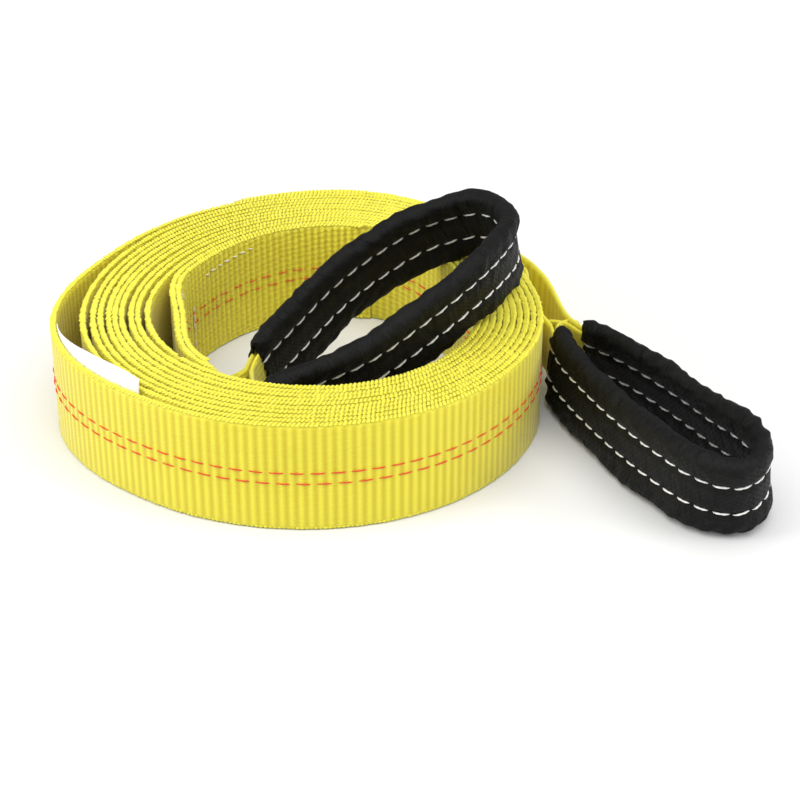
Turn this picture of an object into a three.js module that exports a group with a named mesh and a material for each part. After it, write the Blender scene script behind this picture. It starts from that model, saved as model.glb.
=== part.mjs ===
// A flat tow strap wound up for storage, lying on its edge, with a sleeved eye at each end.
// Millimetres, +Z up. The strap is laid out around the axis of its coil and then moved so that
// the origin is the middle of the underside of its bounding box.

import * as THREE from 'three';

// Webbing
const webbingWidth = 50;
const webbingThickness = 2.5;
const layerGap = 0.3;
const layerPitch = webbingThickness + layerGap;

// Webbing folded in half lengthwise inside each eye
const foldedWidth = webbingWidth / 2;
const foldedThickness = 2 * webbingThickness + layerGap;

// Sleeve around each eye
const sleeveWidth = 42;
const sleeveWall = 1.3;
const sleeveClearance = 0.5;
const sleeveThickness = foldedThickness + 2 * (sleeveClearance + sleeveWall);

// Coil: radius of the strap's centre line, which grows by the pitch in each turn
const coilRadius = 77.3;
const coilShift = { by: 7.9, towards: 5 };
const coilOval = { by: 4.0, towards: 78 };
const coilLobes = { by: 1.7, towards: -47 };
const tightPitch = 2.96;
const loosePitch = 3.96;

// The turns part on the left, each by its own distance, counted from the inside out
const looseSide = -172;
const looseSpread = 75;
const looseTurns = [-0.5, 0, -1.1, -0.8, -1.8, -3.0, -3.3, -4.0, -3.4, 0];
const bulge = { by: 5.7, at: -166, spread: 45, fromTurn: 9.3 };

// Angles at which the strap starts, leaves and ends its laps, in degrees around the coil
const innerLapEnd = 70;
const innerThroat = 240;
const innerLapBow = { by: -9.4, at: 195, spread: 45 };
const fullTurns = 10;
const outerThroat = 20;
const outerLapEnd = 110;
const stepAngle = 10;

// The two eyes: the route of the middle of the webbing, chosen by hand, how far its width tilts
// from upright and towards which side, how far the top edge then leans into the eye, and how far
// from the throat the fold is complete and the sleeve begins
const innerEye = {
  route: [
    [-27, -60, 25.2], [-22.5, -49, 26.8], [-18, -33.5, 30.5], [-11.5, -21.5, 34], [-3.5, -10.5, 38],
    [8.5, 5, 45], [21, 16.5, 52], [37, 28.5, 58.5], [52, 34.5, 65.5], [68.5, 35.5, 71], [82.5, 31.5, 75],
    [91, 19, 75], [92.5, 4, 74.2], [88.5, -9, 74.2], [79, -26.5, 72.5], [65, -39.5, 66], [48.5, -48.5, 56.5],
    [31, -55.5, 46.5], [11.5, -59, 38.5], [-6.5, -62.5, 32], [-18.5, -67, 26],
  ],
  tilt: { by: 28, towards: -114 },
  lean: -3.5,
  taper: 42,
  setback: 28,
};
const outerEye = {
  route: [
    [110.8, 17, 24.8], [113, 0, 23.4], [115.6, -17, 21.9], [121.5, -34, 21.5], [129.5, -53.5, 21.5],
    [140, -75.5, 21.5], [152, -97.5, 22], [165, -115.5, 22], [181, -122.5, 21.8], [192.5, -108, 23.2],
    [191, -92, 23.6], [186, -79.5, 22.6], [179, -66.5, 21.4], [170.5, -50, 21.2], [160, -34, 21.7],
    [148.5, -18, 22.4], [136, -5, 22.9], [124.5, 7, 23.6], [114.8, 22, 24.9],
  ],
  tilt: { by: 20, towards: -92 },
  lean: 6.5,
  taper: 58,
  setback: 44,
};
const eyeStep = 5.5;
const sleeveSides = 12;
const eyeSamples = 2000;

// Label tag, sewn inside the outermost turn
const tagThickness = 0.5;
const tagHeight = 24;
const tagAboveEdge = 8.5;
const tagFrom = -168;
const tagTo = -135;
const tagStep = 3;
const tagTip = 4.5;
const tagGap = 0.4;

const radians = THREE.MathUtils.degToRad;
const up = new THREE.Vector3(0, 0, 1);

// Rises from 0 to 1 and falls back to 0 around an angle, in degrees
function hump(angle, middle, spread) {
  const away = Math.abs(((((angle - middle) % 360) + 540) % 360) - 180);
  return away < spread ? Math.cos((away / spread) * (Math.PI / 2)) ** 2 : 0;
}

// Turns wound since the inner lap ended, at an angle that falls as the strap winds outwards
function turnsAt(angle) {
  return (innerLapEnd - angle) / 360;
}

// Radius of the strap's centre line
function radiusAt(angle) {
  const turns = turnsAt(angle);
  const pitch = loosePitch - (loosePitch - tightPitch) * (0.5 + 0.5 * Math.cos(radians(angle)));
  let radius = coilRadius + turns * pitch;
  radius += coilShift.by * Math.cos(radians(angle - coilShift.towards));
  radius += coilOval.by * Math.cos(radians(2 * (angle - coilOval.towards)));
  radius += coilLobes.by * Math.cos(radians(3 * (angle - coilLobes.towards)));
  if (turns < 0) {
    radius += innerLapBow.by * hump(angle, innerLapBow.at, innerLapBow.spread);
  } else {
    const turn = Math.min(Math.floor(turns), looseTurns.length - 1);
    radius += looseTurns[turn] * hump(angle, looseSide, looseSpread);
  }
  if (turns > bulge.fromTurn) {
    radius += bulge.by * hump(angle, bulge.at, bulge.spread);
  }
  return radius;
}

// A point of the strap's centre line, or of a layer that lies beside it
function coilPoint(angle, offset = 0) {
  const radius = radiusAt(angle) + offset;
  return new THREE.Vector3(
    radius * Math.cos(radians(angle)),
    radius * Math.sin(radians(angle)),
    webbingWidth / 2,
  );
}

function coilRun(from, to, offset = 0) {
  const steps = Math.round(Math.abs(to - from) / stepAngle);
  const points = [];
  for (let i = 0; i <= steps; i++) {
    points.push(coilPoint(from + ((to - from) * i) / steps, offset));
  }
  return points;
}

// The runs of the strap, in order from its inner cut end to its outer cut end
const outerAngle = outerThroat - 360 * fullTurns;
const innerLap = coilRun(innerLapEnd, innerThroat, -layerPitch);
const coil = coilRun(innerThroat, outerAngle);
const outerLap = coilRun(outerAngle, outerLapEnd - 360 * fullTurns, layerPitch);

// Evenly spaced points along an eye, on one smooth curve with the laps that it joins
function eyePoints(before, route, after) {
  const own = route.map((p) => new THREE.Vector3(...p));
  const points = [...before.slice(-2), ...own, ...after.slice(0, 2)];
  const curve = new THREE.CatmullRomCurve3(points, false, 'centripetal');
  const samples = curve.getSpacedPoints(eyeSamples);
  const nearest = (target) =>
    samples.reduce((best, p, i) => (p.distanceTo(target) < samples[best].distanceTo(target) ? i : best), 0);
  const first = nearest(before[before.length - 1]);
  const last = nearest(after[0]);
  const sampleLength = curve.getLength() / eyeSamples;
  const steps = Math.round(((last - first) * sampleLength) / eyeStep);
  const stride = (last - first) / steps;
  const inside = [];
  for (let i = 1; i < steps; i++) {
    inside.push(samples[Math.round(first + i * stride)]);
  }
  return { inside, spacing: stride * sampleLength };
}

function middleOf(points) {
  const sum = new THREE.Vector3();
  points.forEach((p) => sum.add(p));
  return sum.divideScalar(points.length);
}

// A station is a place along the strap: its point, how far it is folded and, in an eye, the
// directions that its width turns to there
function flatStations(points) {
  return points.map((point) => ({ point, fold: 0 }));
}

function eyeStations(before, eye, after) {
  const { inside, spacing } = eyePoints(before, eye.route, after);
  const middle = middleOf(inside);
  const tiltBy = radians(eye.tilt.by);
  const tilted = new THREE.Vector3(Math.sin(tiltBy), 0, Math.cos(tiltBy));
  tilted.applyAxisAngle(up, radians(eye.tilt.towards));
  return inside.map((point, i) => {
    const fromThroat = spacing * (Math.min(i, inside.length - 1 - i) + 1);
    const fold = THREE.MathUtils.smoothstep(fromThroat, 0, eye.taper);
    return { point, fold, fromThroat, tilted, lean: radians(eye.lean), middle };
  });
}

const innerEyeStations = eyeStations(innerLap, innerEye, coil);
const outerEyeStations = eyeStations(coil, outerEye, outerLap);
const strapStations = [
  ...flatStations(innerLap),
  ...innerEyeStations,
  ...flatStations(coil),
  ...outerEyeStations,
  ...flatStations(outerLap),
];

// Directions across the strap's width and through its thickness, at each station
function addFrames(stations) {
  stations.forEach((station, i) => {
    const before = stations[Math.max(i - 1, 0)].point;
    const after = stations[Math.min(i + 1, stations.length - 1)].point;
    const along = after.clone().sub(before).normalize();
    const side = along.clone().cross(up).normalize();
    station.across = up.clone();
    if (station.fold > 0) {
      const inward = station.middle.clone().sub(station.point).dot(side) < 0 ? -1 : 1;
      const turned = station.tilted.clone().addScaledVector(side, inward * Math.tan(station.lean));
      station.across.lerp(turned, station.fold);
    }
    station.across.addScaledVector(along, -along.dot(station.across)).normalize();
    station.through = along.clone().cross(station.across).normalize();
  });
}
addFrames(strapStations);

// One point of a section, given its place across the width and through the thickness
function sectionPoint(station, across, through) {
  return station.point
    .clone()
    .addScaledVector(station.across, across)
    .addScaledVector(station.through, through);
}

// Turns a list of points and of triangles into a closed geometry with its faces outwards
function closedGeometry(points, triangles) {
  let volume = 0;
  triangles.forEach(([a, b, c]) => {
    volume += points[a].dot(points[b].clone().cross(points[c]));
  });
  const faces = volume < 0 ? triangles.map(([a, b, c]) => [a, c, b]) : triangles;
  const geometry = new THREE.BufferGeometry();
  const position = points.flatMap((p) => [p.x, p.y, p.z]);
  geometry.setAttribute('position', new THREE.Float32BufferAttribute(position, 3));
  geometry.setIndex(faces.flat());
  geometry.computeVertexNormals();
  return geometry;
}

// Joins the ring of points that starts at i to the ring that starts at j
function joinRings(triangles, i, j, count, facesIn = false) {
  for (let k = 0; k < count; k++) {
    const next = (k + 1) % count;
    const pair = [[i + k, j + k, j + next], [i + k, j + next, i + next]];
    triangles.push(...(facesIn ? pair.map(([a, b, c]) => [a, c, b]) : pair));
  }
}

// The webbing, a flat section that narrows and thickens where it is folded
function webbingGeometry(stations) {
  const points = [];
  const triangles = [];
  stations.forEach((station) => {
    const half = THREE.MathUtils.lerp(webbingWidth, foldedWidth, station.fold) / 2;
    const thick = THREE.MathUtils.lerp(webbingThickness, foldedThickness, station.fold) / 2;
    points.push(
      sectionPoint(station, half, thick),
      sectionPoint(station, -half, thick),
      sectionPoint(station, -half, -thick),
      sectionPoint(station, half, -thick),
    );
  });
  for (let i = 0; i + 1 < stations.length; i++) {
    joinRings(triangles, 4 * i, 4 * (i + 1), 4);
  }
  const last = points.length - 4;
  triangles.push([0, 1, 2], [0, 2, 3]);
  triangles.push([last + 2, last + 1, last], [last + 3, last + 2, last]);
  return closedGeometry(points, triangles);
}

// Points of a flat section with round edges, whose flat sides lie a full thickness apart
function ovalRing(station, width, thickness) {
  const radius = thickness / 2 / Math.cos(Math.PI / sleeveSides);
  const straight = width / 2 - radius;
  const ring = [];
  for (let k = 0; k < sleeveSides; k++) {
    const turn = ((k + 0.5) / sleeveSides) * 2 * Math.PI;
    const across = Math.sign(Math.cos(turn)) * straight + radius * Math.cos(turn);
    ring.push(sectionPoint(station, across, radius * Math.sin(turn)));
  }
  return ring;
}

// A sleeve, open at both ends, with the folded webbing running through it
function sleeveGeometry(eye, wholeEye) {
  const stations = wholeEye.filter((station) => station.fromThroat >= eye.setback);
  const points = [];
  const triangles = [];
  stations.forEach((station) => points.push(...ovalRing(station, sleeveWidth, sleeveThickness)));
  const innerStart = points.length;
  stations.forEach((station) => {
    points.push(...ovalRing(station, sleeveWidth - 2 * sleeveWall, sleeveThickness - 2 * sleeveWall));
  });
  const last = (stations.length - 1) * sleeveSides;
  for (let i = 0; i < last; i += sleeveSides) {
    joinRings(triangles, i, i + sleeveSides, sleeveSides);
    joinRings(triangles, innerStart + i, innerStart + i + sleeveSides, sleeveSides, true);
  }
  joinRings(triangles, last, innerStart + last, sleeveSides);
  joinRings(triangles, innerStart, 0, sleeveSides);
  return closedGeometry(points, triangles);
}

// A point on the straight step of the outermost turn that holds an angle
function outermostPoint(angle) {
  const step = Math.floor((angle - innerThroat) / stepAngle);
  const from = innerThroat + step * stepAngle;
  const lastTurn = 360 * (fullTurns - 1);
  const share = (angle - from) / stepAngle;
  return coilPoint(from - lastTurn).lerp(coilPoint(from + stepAngle - lastTurn), share);
}

// The label tag, which follows the outermost turn and tips inwards above its edge
function tagGeometry() {
  const top = webbingWidth + tagAboveEdge;
  const rows = [top - tagHeight, webbingWidth, top];
  const points = [];
  const triangles = [];
  const steps = Math.round((tagTo - tagFrom) / tagStep);
  for (let i = 0; i <= steps; i++) {
    const onTurn = outermostPoint(tagFrom + ((tagTo - tagFrom) * i) / steps).setZ(0);
    const back = onTurn.length() - webbingThickness / 2 - tagGap;
    const tip = tagTip * Math.sin((Math.PI * (i + 1)) / (steps + 2));
    const direction = onTurn.normalize();
    const at = (radius, z) => direction.clone().multiplyScalar(z === top ? radius - tip : radius).setZ(z);
    rows.forEach((z) => points.push(at(back, z)));
    [...rows].reverse().forEach((z) => points.push(at(back - tagThickness, z)));
  }
  for (let i = 0; i < steps; i++) {
    joinRings(triangles, 6 * i, 6 * (i + 1), 6);
  }
  [0, 6 * steps].forEach((base, end) => {
    const fan = [[0, 1, 5], [1, 4, 5], [1, 2, 4], [2, 3, 4]];
    fan.forEach(([a, b, c]) => {
      triangles.push(end === 0 ? [base + a, base + b, base + c] : [base + a, base + c, base + b]);
    });
  });
  return closedGeometry(points, triangles);
}

const webbingFinish = new THREE.MeshStandardMaterial({ color: 0xe8dc3c, roughness: 0.75, metalness: 0 });
const sleeveFinish = new THREE.MeshStandardMaterial({ color: 0x222220, roughness: 0.9, metalness: 0 });
const tagFinish = new THREE.MeshStandardMaterial({ color: 0xf4f2f0, roughness: 0.6, metalness: 0 });

function piece(name, geometry, material) {
  const mesh = new THREE.Mesh(geometry, material);
  mesh.name = name;
  return mesh;
}

const strap = new THREE.Group();
strap.add(piece('webbing', webbingGeometry(strapStations), webbingFinish));
strap.add(piece('inner_eye_sleeve', sleeveGeometry(innerEye, innerEyeStations), sleeveFinish));
strap.add(piece('outer_eye_sleeve', sleeveGeometry(outerEye, outerEyeStations), sleeveFinish.clone()));
strap.add(piece('label_tag', tagGeometry(), tagFinish));

// The origin is the middle of the underside of the whole strap
const box = new THREE.Box3().setFromObject(strap);
const centre = box.getCenter(new THREE.Vector3());
strap.position.set(-centre.x, -centre.y, -box.min.z);

const towStrap = new THREE.Group();
towStrap.add(strap);

export default towStrap;
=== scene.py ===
import math

import bpy
import numpy as np
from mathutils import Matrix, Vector, noise


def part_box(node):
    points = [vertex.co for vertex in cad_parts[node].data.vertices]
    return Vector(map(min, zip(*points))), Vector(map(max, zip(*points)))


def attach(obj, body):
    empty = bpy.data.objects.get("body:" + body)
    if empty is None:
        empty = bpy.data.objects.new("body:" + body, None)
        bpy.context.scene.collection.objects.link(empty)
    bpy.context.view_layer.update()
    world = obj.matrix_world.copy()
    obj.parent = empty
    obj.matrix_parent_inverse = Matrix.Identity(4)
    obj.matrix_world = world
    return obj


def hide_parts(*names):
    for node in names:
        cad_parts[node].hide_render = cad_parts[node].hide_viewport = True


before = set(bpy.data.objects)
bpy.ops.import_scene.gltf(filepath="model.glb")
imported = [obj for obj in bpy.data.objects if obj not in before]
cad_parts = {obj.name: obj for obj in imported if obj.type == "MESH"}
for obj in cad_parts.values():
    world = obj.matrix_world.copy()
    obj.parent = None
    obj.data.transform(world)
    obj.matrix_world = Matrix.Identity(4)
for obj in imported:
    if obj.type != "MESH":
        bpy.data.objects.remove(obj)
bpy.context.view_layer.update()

# Sizes are in millimetres and angles in degrees, in coordinates around the coil's axis.
# A mesh gets its place in the part's frame, in metres, when it is made.
MM = 0.001

# Webbing
webbing_width = 50.0
webbing_thickness = 2.5
layer_gap = 0.3
layer_pitch = webbing_thickness + layer_gap
rib_pitch = 4.0
rib_height = 0.18
lap_rib_pitch = 3.35
lap_rib_height = 0.9
lump_pitch = 2.7
fold_half_width = 2.2
closed_before_mouth = 8.0

# Coil: the part's own form, and the pull, which only the scene has
coil_radius = 77.3
coil_shift = {"by": 7.9, "towards": 5}
coil_oval = {"by": 4.0, "towards": 78}
coil_lobes = {"by": 1.7, "towards": -47}
tight_pitch = 2.96
loose_pitch = 3.96
loose_side = -172
loose_spread = 75
loose_turns = [-0.5, 0, -1.1, -0.8, -1.8, -3.0, -3.3, -4.0, -3.4, 0]
bulge = {"by": 5.7, "at": -166, "spread": 45, "from_turn": 9.3}
pull = {"by": -6.5, "at": 30, "spread": 52}
inner_lap_end = 70
inner_throat = 240
inner_lap_bow = {"by": -9.4, "at": 195, "spread": 45}
full_turns = 10
first_turn_sweep = 372
last_turn_sweep = 384
outer_throat = 20
outer_lap_end = 110
facet_angle = 10

# Eyes: their routes and tilts, and how the webbing folds in them
inner_eye = {
    "route": [
        (-27, -60, 25.2), (-22.5, -49, 26.8), (-18, -33.5, 30.5), (-11.5, -21.5, 34), (-3.5, -10.5, 38),
        (8.5, 5, 45), (21, 16.5, 52), (37, 28.5, 58.5), (52, 34.5, 65.5), (68.5, 35.5, 71),
        (82.5, 31.5, 75), (91, 19, 75), (92.5, 4, 74.2), (88.5, -9, 74.2), (79, -26.5, 72.5),
        (65, -39.5, 66), (48.5, -48.5, 56.5), (31, -55.5, 46.5), (11.5, -59, 38.5), (-6.5, -62.5, 32),
        (-18.5, -67, 26),
    ],
    "tilt": {"by": 28, "towards": -114},
    "lean": -3.5,
    "taper": 42,
    "fold_side": (-1, 1),
    "fold_early": (10, 0),
    "mouths": (33, 28),
    "upper_margin": 0.83,
}
outer_eye = {
    "route": [
        (110.8, 17, 24.8), (113, 0, 23.4), (115.6, -17, 21.9), (121.5, -34, 21.5),
        (129.5, -53.5, 21.5), (140, -75.5, 21.5), (152, -97.5, 22), (165, -115.5, 22),
        (181, -122.5, 21.8), (192.5, -108, 23.2), (191, -92, 23.6), (186, -79.5, 22.6),
        (179, -66.5, 21.4), (170.5, -50, 21.2), (160, -34, 21.7), (148.5, -18, 22.4),
        (136.5, -4.5, 22.6), (124.5, 8, 22.8), (113, 22, 24),
    ],
    "tilt": {"by": 20, "towards": -92},
    "lean": 6.5,
    "taper": 58,
    "fold_side": (-1, -1),
    "fold_early": (0, 22),
    "mouths": (44, 44),
    "upper_margin": 0.94,
}
eyes = {"inner_eye": inner_eye, "outer_eye": outer_eye}

# Sleeves
sleeve_width = 42.0
sleeve_wall = 1.0
sleeve_margin_half = 4.3
cap_middle = sleeve_width / 2 - sleeve_margin_half
cap_steps = 8
face_steps = 22
least_hollow = 0.3
row_pinch = {"by": 1.25, "reach": 2.0}
middle_dip = {"by": 0.5, "reach": 6.0}

# Soft relief of the sleeves' margins, as shares of their thickness and width
margin_start = 0.5
margin_ramp = 7.0
plain_swell = 0.97
plain_width = 0.985
slow_crease = {"along": 21.0, "across": 12.0, "slant": 0.0, "face": 3.1, "swell": 0.28, "width": 0.05}
quick_crease = {"along": 4.5, "across": 9.0, "slant": 0.35, "face": 5.7, "swell": 0.24, "width": 0.012}
stitch_fan = {"slant": 0.04, "swell": 0.06}
stitch_dimple = {"by": 0.22, "reach": 2.2}
mouth_rounding = 6.0
mouth_shut = {"from": 11.5, "over": 3.5, "swell": 0.8, "width": 0.06}
mouth_fraying = {"slow": 0.9, "quick": 0.5}

# Stitches of the sleeves and of the laps
row_from_middle = 7.5
stitch_pitch = 8.7
stitch_length = 7.6
stitch_thickness = 1.05
lap_stitch_pitch = 4.4
lap_stitch_length = 3.8
lap_stitch_thickness = 0.95
lap_row_points = 12

# Rows on the inner lap: the angle, the lowest and the highest stitch of each row across it, and
# the ends of the row along its edge. Rows on the outer lap, in degrees from its end.
inner_lap_rows = [(171, 3, 47), (151, 3, 30)]
inner_lap_edge_row = {"from": 139, "to": 113, "low": 42.5, "high": 45.0}
outer_lap_rows = [(2, 3, 47), (9, 3, 47)]

# Red tracer threads, in two rows, and the beads of the webbing's edges
tracer_from_middle = 2.5
tracer_pitch = 8.5
tracer_length = 7.0
tracer_thickness = 0.68
bead_pitch = 1.9
bead_length = 2.3
bead_width = 2.65
bead_height = 1.7

# Label tag
tag_from = -168
tag_to = -127
tag_height = 24.0
tag_above_edge = 7.5
tag_tip = 4.0
tag_gap = 0.4
tag_thickness = 0.4

# Steps along the strap: where its face shows, in the slack lap, out of sight and in the eyes
fine_step = 0.85
lap_step = 0.55
plain_step = 5.0
eye_step = 1.25
eye_smoothing = (5, 4)

up = np.array([0.0, 0.0, 1.0])


def hump(angle, middle, spread):
    """Rises from 0 to 1 and falls back to 0 around an angle."""
    away = np.abs((angle - middle + 180) % 360 - 180)
    return np.where(away < spread, np.cos(away / spread * np.pi / 2) ** 2, 0)


def coil_radius_at(angle):
    turns = (inner_lap_end - angle) / 360
    pitch = loose_pitch - (loose_pitch - tight_pitch) * (0.5 + 0.5 * np.cos(np.radians(angle)))
    radius = coil_radius + turns * pitch
    radius = radius + coil_shift["by"] * np.cos(np.radians(angle - coil_shift["towards"]))
    radius += coil_oval["by"] * np.cos(np.radians(2 * (angle - coil_oval["towards"])))
    radius += coil_lobes["by"] * np.cos(np.radians(3 * (angle - coil_lobes["towards"])))
    turn = np.clip(np.floor(turns).astype(int), 0, len(loose_turns) - 1)
    loose = np.array(loose_turns)[turn] * hump(angle, loose_side, loose_spread)
    radius += pull["by"] * hump(angle, pull["at"], pull["spread"])
    bow = inner_lap_bow["by"] * hump(angle, inner_lap_bow["at"], inner_lap_bow["spread"])
    radius += np.where(turns < 0, bow, loose)
    bulging = bulge["by"] * hump(angle, bulge["at"], bulge["spread"])
    return radius + np.where(turns > bulge["from_turn"], bulging, 0)


def coil_points(angles, offset=0.0):
    """Points of the strap's centre line, or of a layer beside it."""
    angles = np.asarray(angles, float)
    radius = coil_radius_at(angles) + offset
    turned = np.radians(angles)
    height = np.full(len(angles), webbing_width / 2)
    return np.stack([radius * np.cos(turned), radius * np.sin(turned), height], 1)


def lengths_along(points):
    steps = np.linalg.norm(np.diff(points, axis=0), axis=1)
    return np.concatenate([[0], np.cumsum(steps)])


def evenly(points, step):
    """The same line in even steps of about the given length."""
    at = lengths_along(points)
    count = max(2, round(at[-1] / step)) + 1
    wanted = np.linspace(0, at[-1], count)
    return np.stack([np.interp(wanted, at, points[:, k]) for k in range(3)], 1)


def coil_run(start, end, step, offset=0.0):
    samples_per_degree = 4
    fine = np.linspace(start, end, int(abs(end - start) * samples_per_degree) + 1)
    return evenly(coil_points(fine, offset), step)


def smooth_curve(points):
    """A centripetal Catmull-Rom curve through the points, from the second to the last but one."""
    samples = 60
    points = np.asarray(points, float)
    found = []
    for a, b, c, d in zip(points, points[1:], points[2:], points[3:]):
        before = np.linalg.norm(b - a) ** 0.5
        across = np.linalg.norm(c - b) ** 0.5
        after = np.linalg.norm(d - c) ** 0.5
        leave = ((b - a) / before - (c - a) / (before + across) + (c - b) / across) * across
        arrive = ((c - b) / across - (d - b) / (across + after) + (d - c) / after) * across
        t = np.linspace(0, 1, samples, endpoint=False)[:, None]
        found.append(
            (2 * t**3 - 3 * t**2 + 1) * b + (t**3 - 2 * t**2 + t) * leave
            + (3 * t**2 - 2 * t**3) * c + (t**3 - t**2) * arrive
        )
    found.append(points[-2:-1])
    return np.concatenate(found)


def softened(points, reach):
    """The line with its small kinks averaged away, and its two ends as they were."""
    count = len(points)
    result = points.copy()
    for i in range(count):
        near = min(reach, i, count - 1 - i)
        result[i] = points[i - near:i + near + 1].mean(0)
    return result


def eye_run(eye, before, after):
    """Even points along an eye, between the last point before it and the first one after it."""
    points = evenly(smooth_curve([*before, *eye["route"], *after]), eye_step)
    for reach in eye_smoothing:
        points = softened(points, reach)
    return points


outer_angle = outer_throat - 360 * full_turns
outer_end = outer_lap_end - 360 * full_turns
first_turn_end = inner_throat - first_turn_sweep
last_turn_start = outer_angle + last_turn_sweep

runs = {
    "inner_lap": coil_run(inner_lap_end, inner_throat, lap_step, -layer_pitch),
    "inner_eye": eye_run(
        inner_eye,
        coil_points([inner_throat - facet_angle, inner_throat], -layer_pitch),
        coil_points([inner_throat, inner_throat - facet_angle]),
    ),
    "first_turn": coil_run(inner_throat, first_turn_end, fine_step),
    "middle": coil_run(first_turn_end, last_turn_start, plain_step),
    "last_turn": coil_run(last_turn_start, outer_angle, fine_step),
    "outer_eye": eye_run(
        outer_eye,
        coil_points([outer_angle + facet_angle, outer_angle]),
        coil_points([outer_angle, outer_angle + facet_angle], layer_pitch),
    ),
    "outer_lap": coil_run(outer_angle, outer_end, fine_step, layer_pitch),
}


def unit(vectors):
    return vectors / np.linalg.norm(vectors, axis=1)[:, None]


class Strap:
    """A stretch of the strap: its points, its directions and its place along the strap."""

    def __init__(self, points, fold, leaning):
        self.points = points
        self.at = lengths_along(points)
        self.along = unit(np.gradient(points, axis=0))
        across = leaning(self.along, points, fold)
        self.across = unit(across - self.along * np.einsum("ij,ij->i", self.along, across)[:, None])
        self.through = unit(np.cross(self.along, self.across))

    def part(self, first, last):
        piece = object.__new__(Strap)
        for name in ("points", "at", "along", "across", "through"):
            setattr(piece, name, getattr(self, name)[first:last])
        return piece

    def place(self, across, through):
        """Points beside the centre line, for one pair of distances or one pair at each point."""
        across = np.broadcast_to(across, len(self.points))[:, None]
        through = np.broadcast_to(through, len(self.points))[:, None]
        return self.points + self.across * across + self.through * through


def smoothstep(x):
    x = np.clip(x, 0, 1)
    return x * x * (3 - 2 * x)


# The whole strap on one line, with the points that each run takes up and how far it is in an eye
whole_line = []
whole_fold = []
run_span = {}
for name, run in runs.items():
    first = sum(len(x) for x in whole_line)
    kept = run[1:] if whole_line else run
    run_span[name] = (first, first + len(kept))
    fold = np.zeros(len(kept))
    if name in eyes:
        at = lengths_along(run)[1:]
        fold = smoothstep(np.minimum(at, at[-1] - at) / eyes[name]["taper"])
    whole_line.append(kept)
    whole_fold.append(fold)


def lean_into_eyes(along, points, fold):
    """The direction of the webbing's width, upright in the coil and tilted in each eye."""
    across = np.tile(up, (len(points), 1))
    for name, eye in eyes.items():
        first, last = run_span[name]
        by = math.radians(eye["tilt"]["by"])
        towards = math.radians(eye["tilt"]["towards"])
        tilted = np.array([
            math.sin(by) * math.cos(towards), math.sin(by) * math.sin(towards), math.cos(by),
        ])
        side = unit(np.cross(along[first:last], up))
        middle = points[first:last].mean(0)
        inward = np.sign(np.einsum("ij,ij->i", middle - points[first:last], side))[:, None]
        turned = tilted + side * inward * math.tan(math.radians(eye["lean"]))
        share = fold[first:last, None]
        across[first:last] = up * (1 - share) + turned * share
    return across


strap = Strap(np.concatenate(whole_line), np.concatenate(whole_fold), lean_into_eyes)


def closing_of_eyes():
    """How far the webbing is folded at each point, and the side that its lower leaf swings to."""
    closing = np.zeros(len(strap.at))
    side = np.ones(len(strap.at))
    for name, eye in eyes.items():
        first, last = run_span[name]
        inwards = strap.at - strap.at[first]
        outwards = strap.at[last - 1] - strap.at
        opening = inwards < outwards
        early = np.where(opening, *eye["fold_early"])
        reach = np.minimum(inwards, outwards) + early
        near = reach > 0
        closed = np.where(opening, *eye["mouths"]) - closed_before_mouth + early
        closing[near] = smoothstep(reach[near] / closed[near])
        side[near] = np.where(opening, *eye["fold_side"])[near]
    return closing, side


strap.closing, strap.side = closing_of_eyes()

# The part's frame, found from where the webbing's box has the coil's left and back
coarse_turn = np.arange(outer_angle + 360, outer_angle - 1, -facet_angle)
left_edge = coil_points(coarse_turn)[:, 0].min() - webbing_thickness / 2
coarse_lap = np.arange(outer_angle, outer_end + 1, facet_angle)
back_edge = coil_points(coarse_lap, layer_pitch)[:, 1].max() + webbing_thickness / 2
webbing_low, webbing_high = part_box("webbing")
part_shift = np.array([webbing_low[0] / MM - left_edge, webbing_high[1] / MM - back_edge, 0.0])


def to_part(points):
    """From coil coordinates in millimetres to the part's frame in metres."""
    return (np.asarray(points, float) + part_shift) * MM


def hex_colour(text):
    """A linear colour from an sRGB hex value."""
    parts = [int(text[i:i + 2], 16) / 255 for i in (0, 2, 4)]
    linear = [c / 12.92 if c <= 0.04045 else ((c + 0.055) / 1.055) ** 2.4 for c in parts]
    return (*linear, 1.0)


def add_node(tree, kind, settings=None, **links):
    """Adds a node, sets its properties, and sets or links its inputs.

    An input is named with underscores for spaces, or by its number as i0, i1 and so on. A value
    that is an output socket is linked, and anything else becomes the input's own value.
    """
    node = tree.nodes.new(kind)
    for name, value in (settings or {}).items():
        setattr(node, name, value)
    for name, value in links.items():
        if name[0] == "i" and name[1:].isdigit():
            socket = node.inputs[int(name[1:])]
        else:
            socket = node.inputs[name.replace("_", " ")]
        if isinstance(value, bpy.types.NodeSocket):
            tree.links.new(value, socket)
        else:
            socket.default_value = value
    return node


def new_material(name, colour, roughness, **settings):
    """A material, its node tree and its Principled BSDF, to which its patterns are joined."""
    material = bpy.data.materials.new(name)
    material.use_nodes = True
    tree = material.node_tree
    shader = tree.nodes["Principled BSDF"]
    shader.inputs["Base Color"].default_value = hex_colour(colour)
    shader.inputs["Roughness"].default_value = roughness
    for key, value in settings.items():
        shader.inputs[key.replace("_", " ")].default_value = value
    return material, tree, shader


def surface_place(tree, across_scale, along_scale):
    """The piece's own UV, in metres, times the pattern's cells per metre across and along."""
    uv = add_node(tree, "ShaderNodeUVMap", {"uv_map": "UVMap"})
    return add_node(
        tree, "ShaderNodeMapping", Vector=uv.outputs["UV"], Scale=(across_scale, along_scale, 1.0)
    ).outputs["Vector"]


def math_node(tree, operation, *values):
    inputs = {f"i{k}": value for k, value in enumerate(values)}
    return add_node(tree, "ShaderNodeMath", {"operation": operation}, **inputs).outputs[0]


def multiply(tree, first, second):
    return math_node(tree, "MULTIPLY", first, second)


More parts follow.
